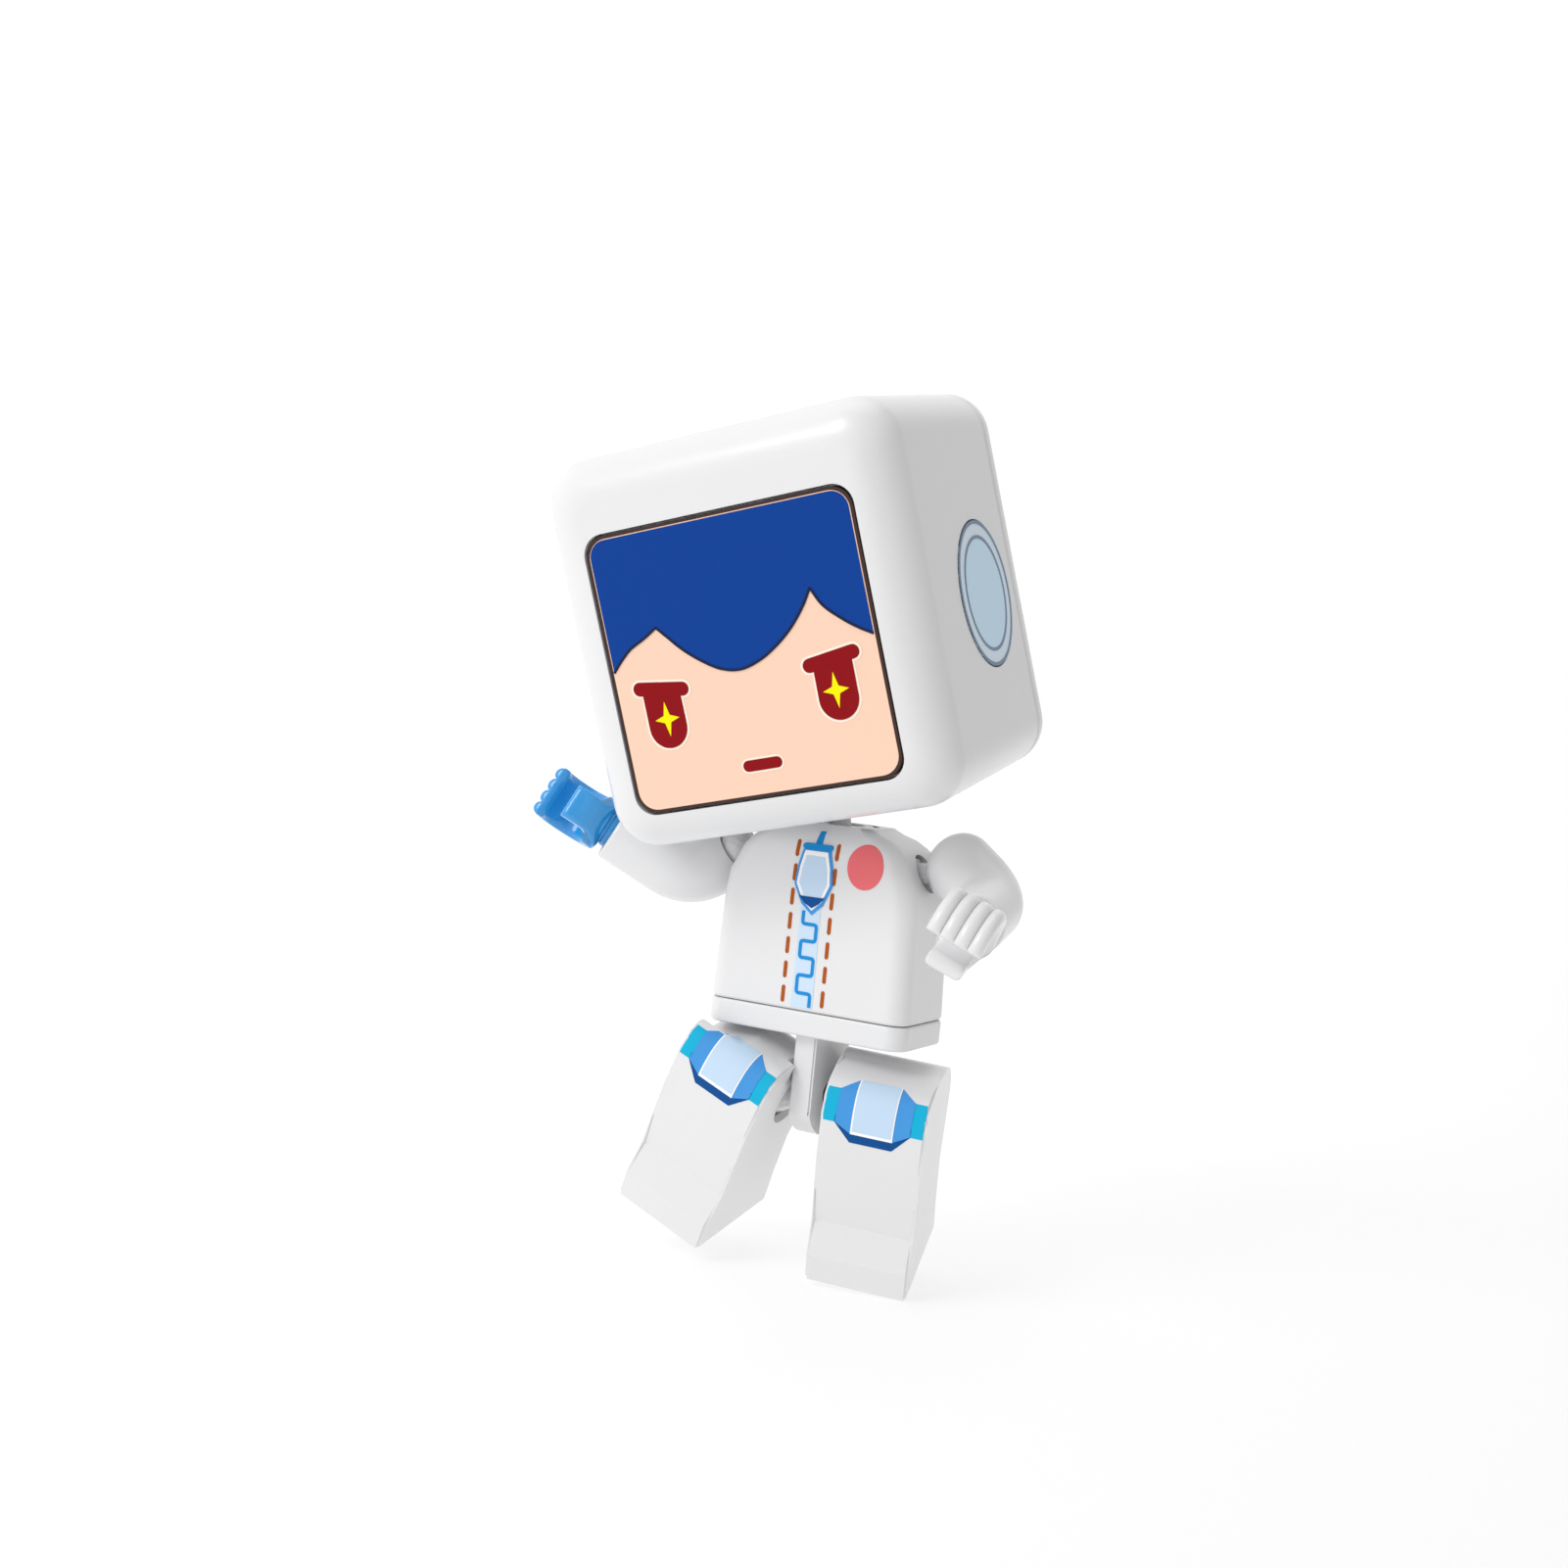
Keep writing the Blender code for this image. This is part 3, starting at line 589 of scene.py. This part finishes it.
def torso(ink):
    low, wall = BELT_H + SEAM, 2 * TORSO_WALL
    shape = loft([
        torso_level(TORSO_W - 0.24, TORSO_D - 0.24, low, 1.3),
        torso_level(TORSO_W, TORSO_D, low + 0.14),
        torso_level(TORSO_W - 0.6, TORSO_D, TAPER_FROM),
        torso_level(TAPER_W + 3.4, TORSO_D - 0.08, TORSO_TOP - 4.0),
        torso_level(TAPER_W + 1.6, TORSO_D - 0.3, TORSO_TOP - 2.1),
        torso_level(TAPER_W + 0.7, TORSO_D - 0.6, TORSO_TOP - 1.5),
        torso_level(TAPER_W, TORSO_D - 0.8, TORSO_TOP - 1.2),
        torso_level(TAPER_W - 1.5, TORSO_D - 1.4, TORSO_TOP - 0.7),
        torso_level(TAPER_W - 3.4, TORSO_D - 2.0, TORSO_TOP - 0.4, 1.2),
        torso_level(TAPER_W - 5.0, TORSO_D - 2.6, TORSO_TOP, 1.0),
    ])
    cavity = loft([
        torso_level(TORSO_W - wall, TORSO_D - wall, low - 1, 0.6),
        torso_level(TORSO_W - 0.6 - wall, TORSO_D - wall, TAPER_FROM, 0.6),
        torso_level(TAPER_W + 1.2 - wall, TORSO_D - wall - 0.4, TORSO_TOP - 2.1, 0.6),
        torso_level(TAPER_W - 0.4 - wall, TORSO_D - wall - 0.8, TORSO_TOP - 1.3, 0.6),
    ])
    here = Matrix()
    axle = rod(SHOULDER_AXLE_R + GAP, (-9, 0, SHOULDER.z), (9, 0, SHOULDER.z))
    surface = piece("torso_body", "torso", shape, here, ink["white"], [
        ("DIFFERENCE", cavity, here), ("DIFFERENCE", rod(COLLAR_R + GAP, (0, 0, 12), (0, 0, 17)), here),
        ("DIFFERENCE", axle, here)], replaces=["torso_shell"])
    torso_prints(surface, ink)


def torso_prints(surface, ink):
    """Printed zip, stitches, pull tab and plain round badge on the chest."""
    front = at((0, -8, 0)) @ Matrix.Rotation(math.radians(90), 4, "X")

    def show(name, outline, colour, layer=1, step=0.5):
        decal(name, "torso", outline, ink[colour], surface, front, layer, step)

    low = 2.0
    show("zip_tape", [(-0.92, low), (0.82, low), (0.72, 13.6), (-0.78, 13.6)], "tape")
    teeth = [(-0.56, 8.9)]
    for k, z in enumerate((7.98, 6.78, 5.58, 4.33, 3.05)):
        side = 1 if k % 2 else -1
        teeth += [(side * 0.56, z), (-side * 0.56, z)]
    teeth.append((0.56, low + 0.1))
    show("zip_teeth", ribbon(eased(teeth, 0.22), 0.25), "zip", 2)
    show("zip_slider", [(-0.3, 13.55), (0.25, 13.55), (0.2, 14.6), (-0.2, 14.6)], "zip", 2)
    tab = [(-1.05, 13.5), (1.0, 13.5), (1.35, 12.2), (1.5, 10.85), (0.9, 9.4), (0.1, 8.65), (-0.8, 9.4), (-1.5, 10.75),
           (-1.35, 12.2)]
    show("tab_edge", tab, "mid_blue", 3)
    centre = Vector((0, 11.1))
    show("tab_rim", [centre + (Vector(p) - centre) * 0.87 for p in tab], "pure", 4)
    show("tab_face", [centre + (Vector(p) - centre) * 0.72 for p in tab], "light_blue", 5)
    show("tab_foot", [(-1.0, 9.95), (1.0, 9.95), (0.62, 9.5), (0.08, 9.15), (-0.55, 9.5)], "navy", 6)
    show("tab_bar", capsule((-0.95, 13.5), (0.95, 13.5), 0.42), "zip", 6)
    for side, x in (("r", -1.6), ("l", 1.55)):
        for k in range(7):
            z = 2.35 + k * 1.74
            show(f"stitch_{side}{k}", capsule((x, z), (x, z + 0.95), 0.28, 4), "stitch")
    badge = [(3.85 + 1.4 * math.cos(a), 12.5 + 1.6 * math.sin(a)) for a in
             (math.tau * i / 40 for i in range(40))]
    show("badge", badge, "badge", 1, step=0.15)


def waist(ink):
    levels = [(0.3, 0.0), (0.1, 0.06), (0, 0.2), (0, BELT_H - 0.2), (0.1, BELT_H - 0.06), (0.3, BELT_H)]
    belt = loft([torso_level(TORSO_W - s, TORSO_D - s, z) for s, z in levels])
    half, here = WEB_DEPTH / 2, Matrix()
    outline = [(-half, 0.6)] + arc((0, PIN_Z), 3.0, 201, 339, 24) + [(half, 0.6)]
    web = loft([[(x, y, z) for y, z in outline] for x in (-WEB_W / 2, WEB_W / 2)])
    rims = [e for e in web.edges if abs(e.verts[0].co.x - e.verts[1].co.x) < 0.01]
    bmesh.ops.bevel(web, geom=rims, offset=0.15, segments=2, affect="EDGES")
    solids = [("UNION", web, here)]
    solids += [("UNION", rod(2.2, (x, 0, 1), (x, 0, BELT_H + 1.8)), here) for x in (-4, 4)]
    solids.append(("DIFFERENCE", rod(PIN_R + GAP, (-2, 0, PIN_Z), (2, 0, PIN_Z)), here))
    piece("belt", "torso", belt, here, ink["white"], solids, replaces=["waist_block"])


# ---------------------------------------------------------------- arms and hands

def shoulder_frame(side):
    return at(mirrored(side, SHOULDER))


def arm_frame(side):
    return shoulder_frame(side) @ side_turn(side, ARM_POSE[side])


def forearm():
    """Direction of the forearm and the middle of the cuff, on the left arm."""
    bend = math.radians(ELBOW_TURN)
    fore = Vector((0, -math.sin(bend), -math.cos(bend)))
    return fore, Vector((ARM_OUT, 0, -UPPER_ARM)) + fore * FOREARM


def arm_path():
    fore, cuff = forearm()
    elbow = Vector((ARM_OUT, 0, -UPPER_ARM))
    path, radii = [], []
    for i in range(1, 10):                         # rounded top of the shoulder
        a = math.radians(10 * i)
        path.append(Vector((ARM_OUT, 0, -0.2 + 2.1 * math.cos(a))))
        radii.append(ARM_R * math.sin(a) ** 0.8)
    path += [Vector((ARM_OUT, 0, -0.7)), Vector((ARM_OUT, 0, -1.6))]
    radii += [ARM_R, ARM_R]
    begin, end = elbow + Vector((0, 0, 2.0)), elbow + fore * 2.2
    for i in range(13):
        t = i / 12
        path.append(begin * (1 - t) ** 2 + elbow * 2 * t * (1 - t) + end * t ** 2)
        radii.append(ARM_R - 0.3 * t)
    path += [end + (cuff - end) * 0.5, cuff - fore * 0.25, cuff - fore * 0.07, cuff]
    radii += [(ARM_R - 0.3 + CUFF_R) / 2, CUFF_R, CUFF_R - 0.05, CUFF_R - 0.2]
    return path, radii


def arm(side, ink):
    frame = arm_frame(side)
    fore, cuff = forearm()
    inward = Vector((-1 if side == "l" else 1, 0, 0))
    mouth = turn(ARM_POSE[side][0]) @ inward
    solids = [
        ("DIFFERENCE", ball(SHOULDER_BALL_R + GAP), frame),
        ("DIFFERENCE", rod(0.8, mouth * 0.4, mouth * 4.6, far_radius=SOCKET_MOUTH_R), shoulder_frame(side)),
        ("DIFFERENCE", flip(rod(WRIST_R + GAP, cuff - fore * (WRIST_LEN + GAP), cuff + fore * 2), side), frame),
    ]
    path, radii = arm_path()
    piece(f"sleeve_{side}", f"arm_{side}", flip(sweep(path, radii), side), frame, ink["white"], solids,
          smooth=50, replaces=[f"arm_{side}"])


def hand_frame(side):
    _, cuff = forearm()
    aim = Matrix.Rotation(math.pi - math.radians(ELBOW_TURN), 4, "X")
    roll = Matrix.Rotation(math.radians(HAND_TURN[side]), 4, "Z")
    return arm_frame(side) @ at(mirrored(side, cuff)) @ aim @ roll


def ease(value, low, high):
    t = min(max((value - low) / (high - low), 0), 1)
    return t * t * (3 - 2 * t)


def grip():
    """An open grip: four finger ridges on one wall, a narrower thumb on the other, rounded rims."""
    start, end = MOUTH_AT + MOUTH_HALF, MOUTH_AT - MOUTH_HALF + 360
    steps, levels = 84, 48
    rings = []
    for level in range(levels + 1):
        u = 2 * level / levels - 1
        lobe = abs(math.sin(math.tau * u)) ** 0.45
        rim = abs(u) ** 10
        outer, inner = [], []
        for k in range(steps + 1):
            angle = start + (end - start) * k / steps
            finger = 1 - ease(angle, start + 95, start + 135)
            thumb = ease(angle, end - 95, end - 55)
            tip = min(angle - start, end - angle) / 12
            tip = math.sqrt(max(1 - (1 - min(tip, 1)) ** 2, 0))
            middle, half = (GRIP_R + BORE_R) / 2, (GRIP_R - BORE_R) / 2
            a = math.radians(angle)
            far = middle + (half - 0.34 * finger * (1 - lobe) - 0.2 * rim) * max(tip, 0.15)
            near = middle - (half - 0.2 * rim) * max(tip, 0.15)
            wide = PALM_W / 2 * (1 - 0.36 * thumb)
            outer.append((u * wide, far * math.cos(a), GRIP_REACH + far * math.sin(a)))
            inner.append((u * wide, near * math.cos(a), GRIP_REACH + near * math.sin(a)))
        rings.append(outer + inner[::-1])
    return loft(rings)


def hand(side, ink):
    frame = hand_frame(side)
    wrist = turned([
        (WRIST_R - 0.2, -WRIST_LEN), (WRIST_R, -WRIST_LEN + 0.2), (WRIST_R, 0.35), (WRIST_R - 0.15, 0.45),
        (WRIST_R - 0.15, 0.6), (WRIST_R + 0.15, 0.75), (WRIST_R + 0.2, GRIP_REACH - BORE_R - 0.4),
    ])
    colour, slot = ("white", "white_plastic") if side == "l" else ("blue", "blue_plastic")
    piece(f"grip_{side}", f"hand_{side}", flip(grip(), side), frame, ink[colour], [("UNION", wrist, frame)],
          smooth=45, replaces=[f"hand_{side}"])


# ---------------------------------------------------------------- legs

def hip_frame(side):
    return at(mirrored(side, (HIP_X, 0, PIN_Z)))


def leg_outline():
    barrel = arc((0, 0), BARREL_R, -25, 100, 30)
    thigh = [(-2.4, 3.8), (-4.0, 3.8), (-4.6, 3.65), (-5.0, 3.4), (-5.35, 3.0), (-5.6, 2.6), (-5.85, 1.9), (-6.0, 1.2)]
    shin = [(-6.0, -1.4), (-5.7, -4.4), (-5.2, -7.2)]
    toe = [(-6.0, -9.7), (TOE_Y, SOLE_Z)]
    calf = [(HEEL_Y, SOLE_Z), (3.5, -8.4), (2.7, -4.8)]
    return barrel + thigh + shin + toe + calf


def leg(side, ink):
    frame = hip_frame(side) @ side_turn(side, LEG_POSE[side])
    outline = leg_outline()
    inner, outer = -LEG_INNER, LEG_W - LEG_INNER
    shape = loft([[(x, y, z) for y, z in outline] for x in (inner, outer)])
    rims = [e for e in shape.edges if abs(e.verts[0].co.x - e.verts[1].co.x) < 0.01]
    bmesh.ops.bevel(shape, geom=rims, offset=0.16, segments=3, affect="EDGES")
    sign = 1 if side == "l" else -1
    solids = [("DIFFERENCE", ball(HIP_BALL_R + GAP), frame),
              ("DIFFERENCE", rod(3.0, (-sign * 3.2, 0, 0), (-sign * 0.4, 0, 0), far_radius=1.7), frame)]
    hip = hip_frame(side)
    relief = 2 * GAP
    belt = (TORSO_W + relief, TORSO_D + relief, BELT_H + relief)
    for angle in (-SWING_ROOM, 0, SWING_ROOM):
        solids.append(("DIFFERENCE", block(belt, (0, 0, BELT_H / 2)), hip @ turn(angle) @ hip.inverted()))
    solids.append(("DIFFERENCE", block((WEB_W + relief, WEB_DEPTH + relief, 16), (0, 0, -8)), Matrix()))
    middle = (sign * (LEG_W / 2 - LEG_INNER), (TOE_Y + HEEL_Y) / 2)
    solids.append(("DIFFERENCE", rod(STUD_R, (*middle, SOLE_Z - 1), (*middle, SOLE_Z + STUD_DEPTH)), frame))
    surface = piece(f"limb_{side}", f"leg_{side}", flip(shape, side), frame, ink["white"], solids,
                    smooth=19, replaces=[f"leg_{side}"])
    knee_pad(side, frame, surface, ink)


def knee_pad(side, frame, surface, ink):
    """Printed knee pad: end tabs, darker wings and a faceted centre over a dark lower edge."""
    sign = 1 if side == "l" else -1
    knee = at((sign * (LEG_W / 2 - LEG_INNER), -5.7, 2.45))
    front = frame @ knee @ Matrix.Rotation(math.radians(90 - KNEE_TILT), 4, "X") @ at((0, 0, 6))
    low, top, wide = -1.05, 1.3, LEG_W / 2 - 0.15

    def show(name, outline, colour, layer):
        decal(f"{name}_{side}", f"leg_{side}", outline, ink[colour], surface, front, layer, step=0.35)

    show("knee_shade", [(-2.7, low), (-1.5, low - 1.2), (1.5, low - 1.2), (2.7, low), (2.7, low + 0.5),
                        (-2.7, low + 0.5)], "navy", 1)
    for k, s in (("a", -1), ("b", 1)):
        show(f"knee_tab_{k}", [(s * wide, low), (s * wide, top), (s * 2.6, top), (s * 2.6, low)], "cyan", 1)
        show(f"knee_wing_{k}", [(s * 2.65, low), (s * 2.65, top), (s * 1.45, top + 0.85), (s * 1.5, low - 0.6)],
             "mid_blue", 2)
    show("knee_rim", [(-1.5, low - 0.62), (1.5, low - 0.62), (1.5, top + 0.85), (-1.5, top + 0.85)], "pure", 3)
    show("knee_face", [(-1.38, low - 0.42), (1.38, low - 0.42), (1.4, top + 0.85), (-1.4, top + 0.85)], "light_blue", 4)


# ---------------------------------------------------------------- studio

def lamp(name, place, target, size, power, colour=(1, 1, 1)):
    light = bpy.data.lights.new(name, "AREA")
    light.energy, light.color = power, colour
    light.shape, light.size = "DISK", size
    thing = bpy.data.objects.new(name, light)
    bpy.context.collection.objects.link(thing)
    thing.location = place
    thing.rotation_euler = (Vector(target) - Vector(place)).to_track_quat("-Z", "Y").to_euler()


def studio():
    """A seamless white bowl round the figure with soft overhead, front and side light."""
    profile = [(0.0005, 0.0), (0.5, 0.0)] + [(0.5 + 0.5 * math.sin(a), 0.5 - 0.5 * math.cos(a))
                                            for a in (math.radians(7.5 * i) for i in range(1, 13))]
    profile += [(1.0, 0.8), (0.92, 1.1), (0.7, 1.35), (0.0005, 1.45)]
    angles = [math.tau * i / 96 for i in range(96)]
    bm = loft([[(r * math.cos(a), r * math.sin(a), z) for a in angles] for r, z in profile])
    bmesh.ops.recalc_face_normals(bm, faces=bm.faces)
    mesh = bpy.data.meshes.new("studio_bowl")
    bm.to_mesh(mesh)
    bm.free()
    mesh.shade_smooth()
    bowl = bpy.data.objects.new("studio_bowl", mesh)
    bpy.context.collection.objects.link(bowl)
    material = bpy.data.materials.new("studio_white")
    material.use_nodes = True
    shader = material.node_tree.nodes["Principled BSDF"]
    shader.inputs["Base Color"].default_value = (0.35, 0.35, 0.35, 1)
    shader.inputs["Roughness"].default_value = 0.9
    shader.inputs["Emission Color"].default_value = (1, 1, 1, 1)
    nodes, links = material.node_tree.nodes, material.node_tree.links
    place, split = nodes.new("ShaderNodeTexCoord"), nodes.new("ShaderNodeSeparateXYZ")
    links.new(place.outputs["Object"], split.inputs["Vector"])
    glow = nodes.new("ShaderNodeMapRange")
    glow.interpolation_type = "SMOOTHSTEP"
    glow.inputs["From Min"].default_value = 0.45
    glow.inputs["From Max"].default_value = -0.1
    glow.inputs["To Min"].default_value = 0.2
    glow.inputs["To Max"].default_value = 0.7
    links.new(split.outputs["X"], glow.inputs["Value"])
    links.new(glow.outputs["Result"], shader.inputs["Emission Strength"])
    mesh.materials.append(material)
    centre = (0.002, 0.003, 0.035)
    lamp("key", (-0.16, -0.42, 0.36), centre, 0.26, 0.85)
    lamp("fill", (0.42, -0.28, 0.16), centre, 0.30, 0.04)
    lamp("top", (0.0, 0.05, 0.5), centre, 0.4, 0.25)


def camera():
    """Standing just off the figure's left front, level with its chest and rolled a few degrees."""
    right, up = Vector((0.87758, 0.46974, 0.09594)), Vector((-0.10411, -0.00861, 0.99453))
    back = right.cross(up).normalized()
    lens = bpy.data.cameras.new("camera")
    lens.lens, lens.sensor_width = 47.44, 36
    lens.clip_start, lens.clip_end = 0.001, 10
    lens.dof.use_dof = False
    thing = bpy.data.objects.new("camera", lens)
    bpy.context.collection.objects.link(thing)
    turned_by = Matrix((right, up, back)).transposed().to_4x4()
    thing.matrix_world = at((Vector((65.794, -133.929, 23.731)) + WAIST) * MM) @ turned_by
    bpy.context.scene.camera = thing


def main():
    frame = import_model()
    ink = palette()
    head(ink)
    torso(ink)
    waist(ink)
    for side in ("l", "r"):
        arm(side, ink)
        hand(side, ink)
        leg(side, ink)
    for name, node in frame["nodes"].items():
        for slot in node.material_slots:
            slot.material = ink["steel"] if name == "hip_pin" else ink["white"]
    studio()
    camera()
    bpy.context.scene.view_settings.view_transform = "Standard"


main()
